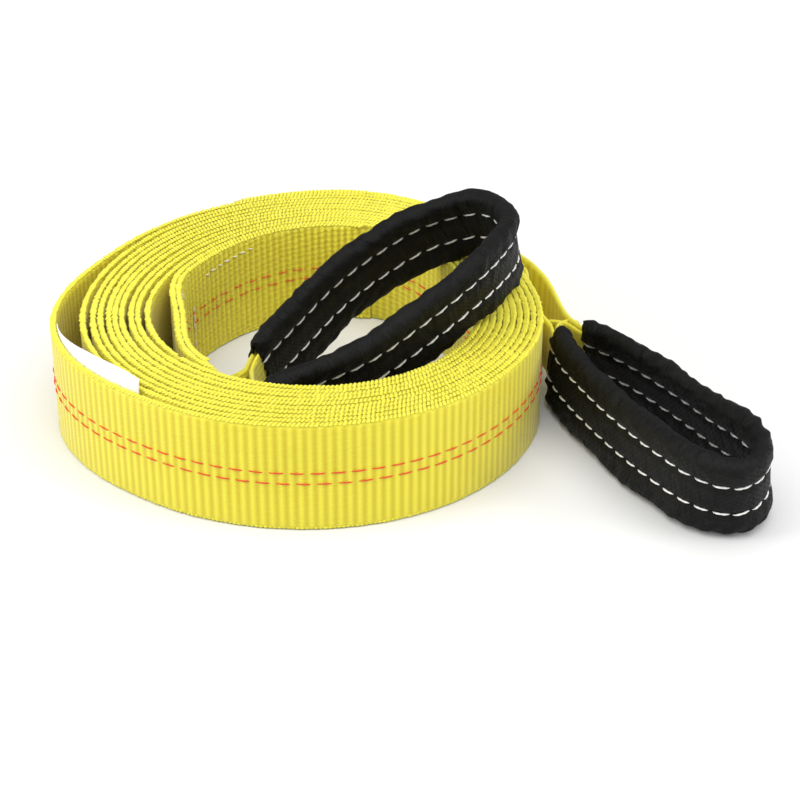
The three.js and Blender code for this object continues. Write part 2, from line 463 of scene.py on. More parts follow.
def add(tree, first, second):
    return math_node(tree, "ADD", first, second)


def wave(tree, value, pitch):
    """A sine of a length in metres, with a pitch in millimetres."""
    return math_node(tree, "SINE", multiply(tree, value, 2 * math.pi / (pitch * MM)))


def round_threads(tree, value):
    """The crowns of threads that lie side by side, one to each unit of the value."""
    return math_node(tree, "ABSOLUTE", math_node(tree, "SINE", multiply(tree, value, math.pi)))


def noise_node(tree, place, scale, **settings):
    return add_node(tree, "ShaderNodeTexNoise", Vector=place, Scale=scale, **settings).outputs["Fac"]


def bump(tree, height, strength, distance, **under):
    return add_node(
        tree, "ShaderNodeBump", Strength=strength, Distance=distance, Height=height, **under
    ).outputs["Normal"]


def blend(tree, factor, first, second):
    """Between two colours, given as sRGB hex values."""
    mix = add_node(tree, "ShaderNodeMix", {"data_type": "RGBA"}, Factor=factor)
    mix.inputs["A"].default_value = hex_colour(first)
    mix.inputs["B"].default_value = hex_colour(second)
    return mix.outputs["Result"]


def webbing_material():
    """Polyester webbing, woven with heavy weft ribs: a satin sheen, a fine cross texture, and painted
    shade in the ribs' valleys.

    The real threads are about 0.5 mm, and they are drawn at twice that so that they show.
    """
    weave_across = 1.05
    weave_along = 2.1
    fuzz_share = 0.9
    lump_drift = 0.0024
    lump_slant = 0.12
    # lump_shade lightens the colour on the lumps' crests and darkens it in their hollows: painted
    # shade.
    lump_shade = -0.16
    material, tree, shader = new_material(
        "woven_polyester_webbing", "e9df43", 0.5,
        Specular_IOR_Level=0.4, Sheen_Weight=0.25, Sheen_Roughness=0.4, IOR=1.5,
    )
    uv = add_node(tree, "ShaderNodeUVMap", {"uv_map": "UVMap"})
    separate = add_node(tree, "ShaderNodeSeparateXYZ", Vector=uv.outputs["UV"])
    across = separate.outputs["X"]
    along = separate.outputs["Y"]
    position = add_node(tree, "ShaderNodeTexCoord").outputs["Object"]
    threads = multiply(tree, wave(tree, across, weave_across), wave(tree, along, weave_along))
    fuzz = noise_node(tree, position, scale=900.0, Detail=3.0, Roughness=0.6)
    fuzzy = add(tree, threads, multiply(tree, fuzz, fuzz_share))
    weave = bump(tree, fuzzy, strength=0.4, distance=0.0002)
    # The lumps of the ribs where the weave is slack, near the inner end
    drift = noise_node(tree, position, scale=260.0, Detail=1.0)
    drifted = add(tree, across, multiply(tree, drift, lump_drift))
    slanted = add(tree, drifted, multiply(tree, along, lump_slant))
    lumps = add_node(tree, "ShaderNodeAttribute", {"attribute_name": "lumps"}).outputs["Fac"]
    lumped = multiply(tree, wave(tree, slanted, lump_pitch), lumps)
    relief = bump(tree, lumped, strength=0.35, distance=0.0003, Normal=weave)
    tree.links.new(relief, shader.inputs["Normal"])
    # The base colour darkens to a deeper, more orange yellow in the ribs' valleys and in the lumps'
    # hollows: painted shade for the shade and bounced light there.
    groove_shade = add_node(tree, "ShaderNodeAttribute", {"attribute_name": "groove_shade"}).outputs["Fac"]
    shade_depth = add(tree, multiply(tree, lumped, lump_shade), groove_shade)
    shade = blend(tree, shade_depth, "e6df42", "ccb81d")
    cloudy = noise_node(tree, position, scale=45.0, Detail=3.0, Roughness=0.5)
    tint = add_node(
        tree, "ShaderNodeMix", {"data_type": "RGBA", "blend_type": "MULTIPLY"}, Factor=cloudy, A=shade
    )
    tint.inputs["B"].default_value = hex_colour("f8f5e4")
    tree.links.new(tint.outputs["Result"], shader.inputs["Base Color"])
    return material


def sleeve_material():
    """Plain-woven nylon fabric: dull black with a small grid of threads that catches the light."""
    thread_pitch = 1.3
    creases_across = 55.0
    creases_along = 210.0
    material, tree, shader = new_material(
        "plain_woven_nylon", "0c0c0c", 0.6,
        Specular_IOR_Level=0.14, Sheen_Weight=0.0, Sheen_Roughness=0.5, IOR=1.53,
    )
    place = surface_place(tree, 1000 / thread_pitch, 1000 / thread_pitch)
    checks = add_node(tree, "ShaderNodeTexChecker", Vector=place, Scale=1.0)
    separate = add_node(tree, "ShaderNodeSeparateXYZ", Vector=place)
    crowns = add_node(
        tree, "ShaderNodeMix", Factor=checks.outputs["Fac"],
        A=round_threads(tree, separate.outputs["X"]), B=round_threads(tree, separate.outputs["Y"]),
    )
    weave = bump(tree, crowns.outputs["Result"], strength=0.6, distance=0.00018)
    crease_place = surface_place(tree, creases_across, creases_along)
    creases = noise_node(tree, crease_place, scale=1.0, Detail=2.0, Distortion=0.6)
    relief = bump(tree, creases, strength=0.9, distance=0.0022, Normal=weave)
    tree.links.new(relief, shader.inputs["Normal"])
    position = add_node(tree, "ShaderNodeTexCoord").outputs["Object"]
    dust = noise_node(tree, position, scale=160.0, Detail=4.0, Roughness=0.65)
    dusty = add_node(tree, "ShaderNodeMapRange", Value=dust, From_Min=0.35, From_Max=0.8)
    colour = blend(tree, dusty.outputs["Result"], "080808", "131312")
    tree.links.new(colour, shader.inputs["Base Color"])
    return material


def thread_material(name, colour, shade, roughness):
    """Twisted polyester sewing thread: glossy plies that wind round each other."""
    ply_pitch = 0.9
    material, tree, shader = new_material(
        name, colour, roughness, Specular_IOR_Level=0.45, Sheen_Weight=0.1, IOR=1.5
    )
    place = surface_place(tree, 1000 / ply_pitch, 1000 / ply_pitch)
    separate = add_node(tree, "ShaderNodeSeparateXYZ", Vector=place)
    plies = round_threads(tree, add(tree, separate.outputs["X"], separate.outputs["Y"]))
    # The colour darkens from colour to shade between the plies: painted shade in the grooves between
    # them.
    tree.links.new(blend(tree, plies, shade, colour), shader.inputs["Base Color"])
    relief = bump(tree, plies, strength=0.6, distance=0.0001)
    tree.links.new(relief, shader.inputs["Normal"])
    return material


def tag_material():
    """Satin label tape, woven of fine white polyester: smooth, with a faint grain along it."""
    grain_across = 0.8
    grain_along = 8.0
    material, tree, shader = new_material(
        "satin_label_tape", "f4f1ee", 0.5, Specular_IOR_Level=0.45, Sheen_Weight=0.1, IOR=1.5
    )
    place = surface_place(tree, 1000 / grain_across, 1000 / grain_along)
    grain = noise_node(tree, place, scale=1.0, Detail=3.0)
    relief = bump(tree, grain, strength=0.25, distance=0.0001)
    tree.links.new(relief, shader.inputs["Normal"])
    tree.links.new(blend(tree, grain, "ece8e2", "faf8f6"), shader.inputs["Base Color"])
    return material


webbing_finish = webbing_material()
sleeve_finish = sleeve_material()
# The second colour of each thread is the painted shade in the grooves between its plies.
white_thread = thread_material("white_sewing_thread", "fcfbf8", "dedcd4", 0.5)
pale_thread = thread_material("pale_lap_thread", "efe9cf", "c9bf93", 0.55)
red_thread = thread_material("red_tracer_thread", "e8421a", "c22f0e", 0.55)
tag_finish = tag_material()


def add_object(name, data):
    thing = bpy.data.objects.new(name, data)
    bpy.context.scene.collection.objects.link(thing)
    return thing


def volume_of(mesh):
    mesh.calc_loop_triangles()
    corners = np.empty(len(mesh.loop_triangles) * 3, np.int32)
    mesh.loop_triangles.foreach_get("vertices", corners)
    points = np.empty(len(mesh.vertices) * 3)
    mesh.vertices.foreach_get("co", points)
    a, b, c = points.reshape(-1, 3)[corners.reshape(-1, 3)].transpose(1, 0, 2)
    return float(np.einsum("ij,ij->i", a, np.cross(b, c)).sum() / 6)


def new_piece(name, points, faces, material, uv):
    """A closed mesh object at the origin, with its place in its mesh and its faces turned out."""
    mesh = bpy.data.meshes.new(name)
    mesh.from_pydata([tuple(p) for p in points], [], [tuple(f) for f in faces])
    mesh.materials.append(material)
    mesh.shade_smooth()
    layer = mesh.uv_layers.new(name="UVMap")
    layer.data.foreach_set("uv", np.asarray(uv, np.float32).ravel())
    if volume_of(mesh) < 0:
        mesh.flip_normals()
    return add_object(name, mesh)


def ring_faces(rows, count, closed_rows=False):
    """Quads that join rows of points, each row a closed ring of the same count."""
    faces = []
    for i in range(rows if closed_rows else rows - 1):
        a = i * count
        b = ((i + 1) % rows) * count
        for k in range(count):
            n = (k + 1) % count
            faces.append((a + k, a + n, b + n, b + k))
    return faces


def ring_uv(around, low, high):
    """UV of such quads, in metres: the places round a ring, and where each row starts and ends."""
    uv = np.empty((len(low), len(around) - 1, 4, 2))
    uv[:, :, 0, 0] = uv[:, :, 3, 0] = around[:-1]
    uv[:, :, 1, 0] = uv[:, :, 2, 0] = around[1:]
    uv[:, :, 0, 1] = uv[:, :, 1, 1] = low[:, None]
    uv[:, :, 2, 1] = uv[:, :, 3, 1] = high[:, None]
    return uv.reshape(-1, 2)


def loft(name, rings, around, along, material):
    """A capped piece lofted through rings of points, with the rings' UV around and along it."""
    rows, count, _ = rings.shape
    faces = ring_faces(rows, count)
    faces.append(tuple(range(count))[::-1])
    faces.append(tuple(range((rows - 1) * count, rows * count)))
    around = np.append(around, around[0] + np.ptp(around) * count / (count - 1))
    uv = np.concatenate([ring_uv(around, along[:-1], along[1:]), np.zeros((2 * count, 2))])
    return new_piece(name, rings.reshape(-1, 3), faces, material, uv)


# Webbing

# Places across the webbing's width, and half its thickness there
width_places = np.array([-24.4, -22.6, -12, -2.2, -1.1, 0, 1.1, 2.2, 12, 22.6, 24.4])
half_thickness = np.array([0.95, 1.25, 1.25, 1.25, 1.25, 1.25, 1.25, 1.25, 1.25, 1.25, 0.95])
rib_share = np.array([0.3, 0.9, 1, 1, 1, 1, 1, 1, 1, 0.9, 0.3])


def folded_places():
    """Centre line of each section, whose lower half swings over beside the upper as it folds."""
    samples = 401
    fine = np.linspace(-webbing_width / 2, webbing_width / 2, samples)
    passed = np.clip((fine / fold_half_width + 1) / 2, 0, 1)
    swing = math.pi * (strap.closing * strap.side)[:, None] * (passed - 1)
    step = fine[1] - fine[0]
    across = np.cumsum(np.cos(swing), axis=1) * step
    through = np.cumsum(np.sin(swing), axis=1) * step
    across -= across.mean(1)[:, None]
    through -= through.mean(1)[:, None]
    wanted = np.concatenate([[-webbing_width / 2], width_places, [webbing_width / 2]])
    index = np.round((wanted - fine[0]) / step).astype(int)
    return across[:, index], through[:, index], swing[:, index]


def wander(at, seed, reach, period):
    """A slow, smooth and repeatable wobble along the strap."""
    return np.array([noise.noise(Vector((x / period, seed, 0.0))) * reach for x in at])


def rib_relief():
    """How high the rib is at each point of the strap, from 0 to 1, and the ribs' height there."""
    lost_in_fold = 0.6
    ribs = 0.5 + 0.5 * np.cos(2 * np.pi * strap.at / rib_pitch)
    height = np.full(len(strap.at), rib_height)
    first, last = run_span["inner_lap"]
    ribs[first:last] = 0.5 + 0.5 * np.cos(2 * np.pi * strap.at[first:last] / lap_rib_pitch)
    height[first:last] = lap_rib_height
    first, last = run_span["middle"]
    ribs[first:last] = 0.5
    return 0.5 + (ribs - 0.5) * (1 - lost_in_fold * strap.closing), height


def add_values(mesh, name, values):
    layer = mesh.attributes.new(name, "FLOAT", "POINT")
    layer.data.foreach_set("value", values.ravel().astype(np.float32))


def webbing_piece():
    least_lift = 0.1
    end_taper = 9.0
    thinnest_end = 0.35
    pressed_in_sleeve = 0.25
    wholly_folded = 0.995
    over_floor = 0.02
    lumps_elsewhere = 0.15
    across, through, swing = folded_places()
    ribs, height = rib_relief()
    uneven = wander(strap.at, seed=3.0, reach=0.45, period=55.0)
    lift = (least_lift + uneven) * (1 - strap.closing)
    thin = np.clip(np.minimum(strap.at, strap.at[-1] - strap.at) / end_taper, thinnest_end, 1)
    in_sleeve = 1 - pressed_in_sleeve * (strap.closing > wholly_folded)
    pressed = (1 - thin) * webbing_thickness / 2
    pressed[len(pressed) // 2:] *= -1
    relief = height[:, None] * (ribs[:, None] - 0.5) * rib_share
    # How deep each point lies in a rib's valley: the material darkens the colour there as painted
    # shade.
    valley_shade = (1 - ribs)[:, None] * rib_share
    inside = slice(1, -1)
    sections = []
    groove_shades = []
    for side, edge in ((1, [-1]), (-1, [0])):
        thick = side * (half_thickness + relief) * (thin * in_sleeve)[:, None] + pressed[:, None]
        face = np.stack([
            across[:, inside] - np.sin(swing[:, inside]) * thick,
            through[:, inside] + np.cos(swing[:, inside]) * thick,
        ])
        rim = np.stack([across[:, edge], through[:, edge]])
        sections.append(np.concatenate([face[:, :, ::side], rim], 2))
        groove_shades.append(np.concatenate([valley_shade[:, ::side], np.zeros((len(ribs), 1))], 1))
    a, t = np.concatenate(sections, 2)[..., None]
    places = strap.points[:, None] + strap.across[:, None] * a + strap.through[:, None] * t
    places[..., 2] = np.maximum(places[..., 2] + lift[:, None], over_floor)
    edge = webbing_width / 2
    flat_across = np.concatenate([width_places, [edge], width_places[::-1] + 2 * edge, [3 * edge]])
    piece = loft("webbing_strap", to_part(places), flat_across * MM, strap.at * MM, webbing_finish)
    # The valleys' depth goes to the material as an attribute, which paints shade into them.
    add_values(piece.data, "groove_shade", np.concatenate(groove_shades, 1))
    lumpy = np.full(len(strap.at), lumps_elsewhere)
    lumpy[:run_span["first_turn"][1]] = 1.0
    add_values(piece.data, "lumps", np.repeat(lumpy, places.shape[1]))
    return piece, lift


webbing, webbing_lift = webbing_piece()


# Sleeves

def sleeve_half_thickness(x):
    """Half the thickness of a sleeve at a distance from its middle, pinched along the two rows."""
    away = np.abs(x)
    pinch = row_pinch["by"] * np.exp(-(((away - row_from_middle) / row_pinch["reach"]) ** 2))
    flat = middle_dip["by"] * np.exp(-((away / middle_dip["reach"]) ** 4))
    return sleeve_margin_half - pinch - flat


def sleeve_section():
    """Around a sleeve: distance from its middle, and height over its mid-plane."""
    face = np.linspace(-cap_middle, cap_middle, face_steps + 1)
    turn = np.linspace(90, -90, cap_steps + 1)[1:-1]
    cap_x = cap_middle + sleeve_margin_half * np.cos(np.radians(turn))
    cap_y = sleeve_margin_half * np.sin(np.radians(turn))
    x = np.concatenate([face, cap_x, face[::-1], -cap_x[::-1]])
    y = np.concatenate([
        sleeve_half_thickness(face), cap_y, -sleeve_half_thickness(face[::-1]), cap_y[::-1],
    ])
    return x, y


def sleeved(eye_name):
    """The stretch of an eye that its sleeve covers."""
    whole = strap.part(*run_span[eye_name])
    first, last = eyes[eye_name]["mouths"]
    inside = np.nonzero((whole.at - whole.at[0] >= first) & (whole.at[-1] - whole.at >= last))[0]
    return whole.part(inside[0], inside[-1] + 1)


def crease(kind, at, x, face, seed):
    """How far one kind of crease rises or sinks at a place on a sleeve."""
    along = at / kind["along"] + kind["slant"] * abs(x)
    return noise.noise(Vector((along, x / kind["across"], seed + face * kind["face"])))


def puckered(section, at, to_mouth, upper_margin, seed):
    """One ring of a sleeve: soft margins, creased from the stitches and rounded off at a mouth."""
    moved_x = []
    moved_y = []
    rounding = math.sqrt(max(0.0, 1 - (1 - min(to_mouth, mouth_rounding) / mouth_rounding) ** 2))
    for x, y in zip(*section):
        from_row = abs(x) - row_from_middle
        margin = float(smoothstep((from_row - margin_start) / margin_ramp))
        face = math.copysign(1.0, y) if y else 1.0
        slow = crease(slow_crease, at, x, face, seed)
        quick = crease(quick_crease, at, x, face, seed)
        fan = math.cos(2 * math.pi * (at / stitch_pitch + stitch_fan["slant"] * from_row))
        swell = plain_swell + margin * (
            slow_crease["swell"] * slow + quick_crease["swell"] * quick + stitch_fan["swell"] * fan
        )
        width = plain_width + margin * (slow_crease["width"] * slow + quick_crease["width"] * quick)
        past_webbing = float(smoothstep((abs(x) - mouth_shut["from"]) / mouth_shut["over"]))
        swell *= 1 - past_webbing * mouth_shut["swell"] * (1 - rounding)
        width *= 1 - past_webbing * mouth_shut["width"] * (1 - rounding)
        dimple = stitch_dimple["by"] * (1 + math.cos(2 * math.pi * at / stitch_pitch))
        sunk = dimple * math.exp(-((from_row / stitch_dimple["reach"]) ** 2))
        if x > row_from_middle:
            x = row_from_middle + from_row * upper_margin
        moved_x.append([x * width])
        moved_y.append([(abs(y) * swell - sunk) * face if y else 0.0])
    return np.array(moved_x), np.array(moved_y)


def sleeve_piece(name, eye_name, seed):
    stretch = sleeved(eye_name)
    section = sleeve_section()
    count = len(section[0])
    inner_share = 1 - sleeve_wall / (sleeve_width / 2)
    outside = []
    inside = []
    for i, at in enumerate(stretch.at):
        from_start = at - stretch.at[0]
        to_mouth = min(from_start, stretch.at[-1] - at)
        x, y = puckered(section, from_start, to_mouth, eyes[eye_name]["upper_margin"], seed)
        inner_y = np.sign(y) * np.maximum(np.abs(y) - sleeve_wall, least_hollow)
        outside.append(stretch.points[i] + stretch.across[i] * x + stretch.through[i] * y)
        inside.append(
            stretch.points[i] + stretch.across[i] * x * inner_share + stretch.through[i] * inner_y
        )
    for end, direction in ((0, -1.0), (-1, 1.0)):
        for k in range(count):
            slow = noise.noise(Vector((k * 0.9, seed, end * 7.0)))
            frayed = mouth_fraying["slow"] * slow + mouth_fraying["quick"] * ((k % 3) - 1)
            outside[end][k] += stretch.along[end] * direction * frayed
            inside[end][k] += stretch.along[end] * direction * frayed
    rings = np.concatenate([outside, inside[::-1]])
    faces = ring_faces(len(rings), count, closed_rows=True)
    flat_section = np.stack([*section, np.zeros(count)], 1)
    around = lengths_along(flat_section) * MM
    around = np.append(around, around[-1] + (around[1] - around[0]))
    along = np.concatenate([stretch.at, stretch.at[::-1]]) * MM
    uv = ring_uv(around, along, np.roll(along, -1))
    return new_piece(name, to_part(rings.reshape(-1, 3)), faces, sleeve_finish, uv), stretch


inner_sleeve, inner_stretch = sleeve_piece("inner_sleeve_fabric", "inner_eye", 1.7)
outer_sleeve, outer_stretch = sleeve_piece("outer_sleeve_fabric", "outer_eye", 9.2)


# What repeats along a row: stitches, tracer dashes and the beads of the webbing's edges

def along_rows_tree():
    """Geometry Nodes that set a shape along each row at an even pitch, facing off the surface."""
    tree = bpy.data.node_groups.new("along_rows", "GeometryNodeTree")
    for name, kind in (
        ("Rows", "Geometry"), ("Shape", "Object"), ("Pitch", "Float"), ("Slant", "Float"),
        ("Unevenness", "Float"), ("Seed", "Int"), ("Material", "Material"),
    ):
        tree.interface.new_socket(name=name, in_out="INPUT", socket_type="NodeSocket" + kind)
    tree.interface.new_socket(name="Pieces", in_out="OUTPUT", socket_type="NodeSocketGeometry")
    given = add_node(tree, "NodeGroupInput").outputs
    curve = add_node(tree, "GeometryNodeMeshToCurve", Mesh=given["Rows"])
    spaced = add_node(
        tree, "GeometryNodeResampleCurve", {"mode": "LENGTH"},
        Curve=curve.outputs["Curve"], Length=given["Pitch"],
    )
    facing = add_node(
        tree, "GeometryNodeInputNamedAttribute", {"data_type": "FLOAT_VECTOR"}, Name="facing"
    )
    tangent = add_node(tree, "GeometryNodeInputTangent")
    turned = add_node(
        tree, "FunctionNodeAxesToRotation", {"primary_axis": "Z", "secondary_axis": "X"},
        Primary_Axis=facing.outputs["Attribute"], Secondary_Axis=tangent.outputs["Tangent"],
    )
    wobble = add_node(
        tree, "FunctionNodeRandomValue", {"data_type": "FLOAT"}, Seed=given["Seed"],
        i2=multiply(tree, given["Unevenness"], -1.0), i3=given["Unevenness"],
    ).outputs[1]
    slanted = add_node(
        tree, "FunctionNodeAxisAngleToRotation", Axis=(0.0, 0.0, 1.0),
        Angle=add(tree, given["Slant"], wobble),
    )
    rotation = add_node(
        tree, "FunctionNodeRotateRotation", {"rotation_space": "LOCAL"},
        Rotation=turned.outputs["Rotation"], Rotate_By=slanted.outputs["Rotation"],
    )
    shape = add_node(tree, "GeometryNodeObjectInfo", Object=given["Shape"])
    placed = add_node(
        tree, "GeometryNodeInstanceOnPoints",
        Points=spaced.outputs["Curve"], Instance=shape.outputs["Geometry"],
        Rotation=rotation.outputs["Rotation"], Scale=add(tree, wobble, 1.0),
    )
    real = add_node(tree, "GeometryNodeRealizeInstances", Geometry=placed.outputs["Instances"])
    painted = add_node(
        tree, "GeometryNodeSetMaterial", Geometry=real.outputs["Geometry"], Material=given["Material"]
    )
    add_node(tree, "NodeGroupOutput", i0=painted.outputs["Geometry"])
    return tree


row_tree = along_rows_tree()


def set_along_rows(name, rows, shape, pitch, material, unevenness, seed, slant=0.0):
    """A piece made of a shape set along rows. A row is its points and the way it faces, in mm."""
    points = []
    edges = []
    facings = []
    for row_points, row_facing in rows:
        first = len(points)
        points.extend(tuple(p) for p in to_part(row_points))
        facings.extend(np.broadcast_to(row_facing, (len(row_points), 3)))
        edges.extend((first + i, first + i + 1) for i in range(len(row_points) - 1))
    mesh = bpy.data.meshes.new(name)
    mesh.from_pydata(points, edges, [])
    layer = mesh.attributes.new("facing", "FLOAT_VECTOR", "POINT")
    layer.data.foreach_set("vector", np.asarray(facings, np.float32).ravel())
    piece = add_object(name, mesh)
    modifier = piece.modifiers.new("along_rows", "NODES")
    modifier.node_group = row_tree
    values = {
        "Shape": shape, "Pitch": pitch * MM, "Slant": math.radians(slant),
        "Unevenness": unevenness, "Seed": seed, "Material": material,
    }
    for item in row_tree.interface.items_tree:
        if item.name in values:
            modifier[item.identifier] = values[item.name]
    evaluated = piece.evaluated_get(bpy.context.evaluated_depsgraph_get())
    finished = bpy.data.meshes.new_from_object(evaluated)
    piece.modifiers.clear()
    piece.data = finished
    if not finished.materials:
        finished.materials.append(material)
    finished.shade_smooth()
    return piece


def thread_shape(name, length, thickness, sink, steps=6, twist=1.0):
    """One stitch along X: a twisted thread that rises over Z = 0 and dives in at both ends."""
    sides = 6
    crest = 0.25
    half_width = 0.56
    half_height = 0.42
    end_size = 0.35
    rings = []
    for i in range(steps + 1):
        t = i / steps
        arch = math.sin(math.pi * t)
        x = (t - 0.5) * length
        z = -sink + (sink + thickness * crest) * arch**0.5
        swell = end_size + (1 - end_size) * arch**0.45
        turn = twist * math.pi * t
        ring = []
        for k in range(sides):
            angle = 2 * math.pi * k / sides
            y = thickness * half_width * swell * math.cos(angle)
            h = thickness * half_height * swell * math.sin(angle)
            ring.append((
                x,
                y * math.cos(turn) - h * math.sin(turn),
                z + y * math.sin(turn) + h * math.cos(turn),
            ))
        rings.append(ring)
    around = np.linspace(0, math.pi * thickness * (sides - 1) / sides, sides) * MM
    along = np.linspace(0, length, steps + 1) * MM
    return loft(name, np.array(rings) * MM, around, along, white_thread)


def bead_shape(name):
    """One bead of a webbing edge along X: a short slanted loop of weft."""
    steps = 4
    sides = 6
    slant = 0.32
    end_size = 0.25
    flat_around = 3.0
    rings = []
    for i in range(steps + 1):
        t = i / steps
        x = (t - 0.5) * bead_length
        swell = end_size + (1 - end_size) * math.sin(math.pi * t)
        rings.append([
            (
                x + slant * bead_length * math.cos(angle),
                bead_width / 2 * swell * math.cos(angle),
                bead_height / 2 * swell * math.sin(angle),
            )
            for angle in (2 * math.pi * k / sides for k in range(sides))
        ])
    around = np.linspace(0, flat_around, sides) * MM
    along = np.linspace(0, bead_length, steps + 1) * MM
    return loft(name, np.array(rings) * MM, around, along, webbing_finish)


stitch_shape = thread_shape(
    "stitch_shape", stitch_length, stitch_thickness, sink=0.7, steps=9, twist=2.5
)
tracer_shape = thread_shape("tracer_shape", tracer_length, tracer_thickness, sink=0.35)
lap_stitch_shape = thread_shape(
    "lap_stitch_shape", lap_stitch_length, lap_stitch_thickness, sink=0.3, twist=1.5
)
edge_bead = bead_shape("edge_bead")


def sleeve_rows(stretch):
    """Two rows of stitches on each face of a sleeve."""
    from_mouth = 3.0
    sunk = 0.1
    rows = []
    from_start = stretch.at - stretch.at[0]
    kept = np.nonzero((from_start > from_mouth) & (stretch.at[-1] - stretch.at > from_mouth))[0]
    part = stretch.part(kept[0], kept[-1] + 1)
    height = float(sleeve_half_thickness(row_from_middle)) - sunk
    for across in (row_from_middle, -row_from_middle):
        for face in (1, -1):
            rows.append((part.place(across, face * height), part.through * face))
    return rows


inner_stitches = set_along_rows(
    "inner_sleeve_stitches", sleeve_rows(inner_stretch), stitch_shape, stitch_pitch, white_thread,
    slant=5.0, unevenness=0.05, seed=4,
)
outer_stitches = set_along_rows(
    "outer_sleeve_stitches", sleeve_rows(outer_stretch), stitch_shape, stitch_pitch, white_thread,
    slant=5.0, unevenness=0.05, seed=9,
)


def lifted(part, points):
    """The points, as far off the floor as the webbing is there."""
    first = np.searchsorted(strap.at, part.at[0])
    points = points.copy()
    points[:, 2] += webbing_lift[first:first + len(points)]
    return points


def tracer_rows():
    """Two rows of dashes along each stretch whose face shows."""
    rows = []
    for name, face in (("inner_lap", -1), ("first_turn", 1), ("last_turn", -1), ("outer_lap", 1)):
        part = strap.part(*run_span[name])
        stagger = round(tracer_pitch / 2 / (lap_step if name == "inner_lap" else fine_step))
        for across, skip in ((tracer_from_middle, 0), (-tracer_from_middle, stagger)):
            points = part.place(across, face * (webbing_thickness + rib_height) / 2)
            rows.append((lifted(part, points)[skip:], (part.through * face)[skip:]))
    return rows


tracers = set_along_rows(
    "red_tracers", tracer_rows(), tracer_shape, tracer_pitch, red_thread, unevenness=0.03, seed=2
)


def lap_stitch_rows():
    """Two rows of stitches across each lap's end, and one along the inner lap's upper edge."""

    def facing_in(angle):
        return np.array([-math.cos(math.radians(angle)), -math.sin(math.radians(angle)), 0.0])

    def row_across(angle, offset, low, high, side):
        foot = coil_points([angle], offset)[0]
        heights = np.linspace(low, high, lap_row_points)
        points = np.array([[foot[0], foot[1], z] for z in heights])
        return points, side * facing_in(angle)

    inside = -layer_pitch - webbing_thickness / 2 - lap_rib_height / 2
    rows = [row_across(angle, inside, low, high, 1) for angle, low, high in inner_lap_rows]
    edge = inner_lap_edge_row
    angles = np.arange(edge["from"], edge["to"], -1.0)
    points = coil_points(angles, inside)
    points[:, 2] = np.linspace(edge["low"], edge["high"], len(angles))
    rows.append((points, np.array([facing_in(a) for a in angles])))
    # The outer lap's end is hidden in the photograph, and is sewn like the inner one
    outside = layer_pitch + webbing_thickness / 2 + rib_height / 2
    for from_end, low, high in outer_lap_rows:
        rows.append(row_across(outer_end - from_end, outside, low, high, -1))
    return rows


lap_stitches = set_along_rows(
    "inner_lap_stitches", lap_stitch_rows(), lap_stitch_shape, lap_stitch_pitch, pale_thread,
    slant=-8.0, unevenness=0.3, seed=5,
)


def edge_rows(side):
    """The webbing's edge in each flat run, with its beads facing up or down."""
    still_flat = 0.02
    from_strap_end = 4
    sunk = 0.1
    lowest = 0.95
    rows = []
    for name in ("inner_lap", "first_turn", "middle", "last_turn", "outer_lap"):
        first, last = run_span[name]
        flat = strap.closing[first:last] < still_flat
        from_end = np.minimum(strap.at, strap.at[-1] - strap.at)[first:last]
        kept = np.nonzero(flat & (from_end > from_strap_end))[0] + first
        part = strap.part(kept[0], kept[-1] + 1)
        points = lifted(part, part.place(side * (webbing_width / 2 - sunk), 0.0))
        if side < 0:
            points[:, 2] = np.maximum(points[:, 2], lowest)
        rows.append((points, up * side))
    return rows


top_beads = set_along_rows(
    "top_selvedge", edge_rows(1), edge_bead, bead_pitch, webbing_finish,
    slant=24.0, unevenness=0.14, seed=6,
)
bottom_beads = set_along_rows(
    "bottom_selvedge", edge_rows(-1), edge_bead, bead_pitch, webbing_finish,
    slant=24.0, unevenness=0.08, seed=7,
)

for shape in (stitch_shape, tracer_shape, lap_stitch_shape, edge_bead):
    bpy.data.objects.remove(shape)


# Label tag

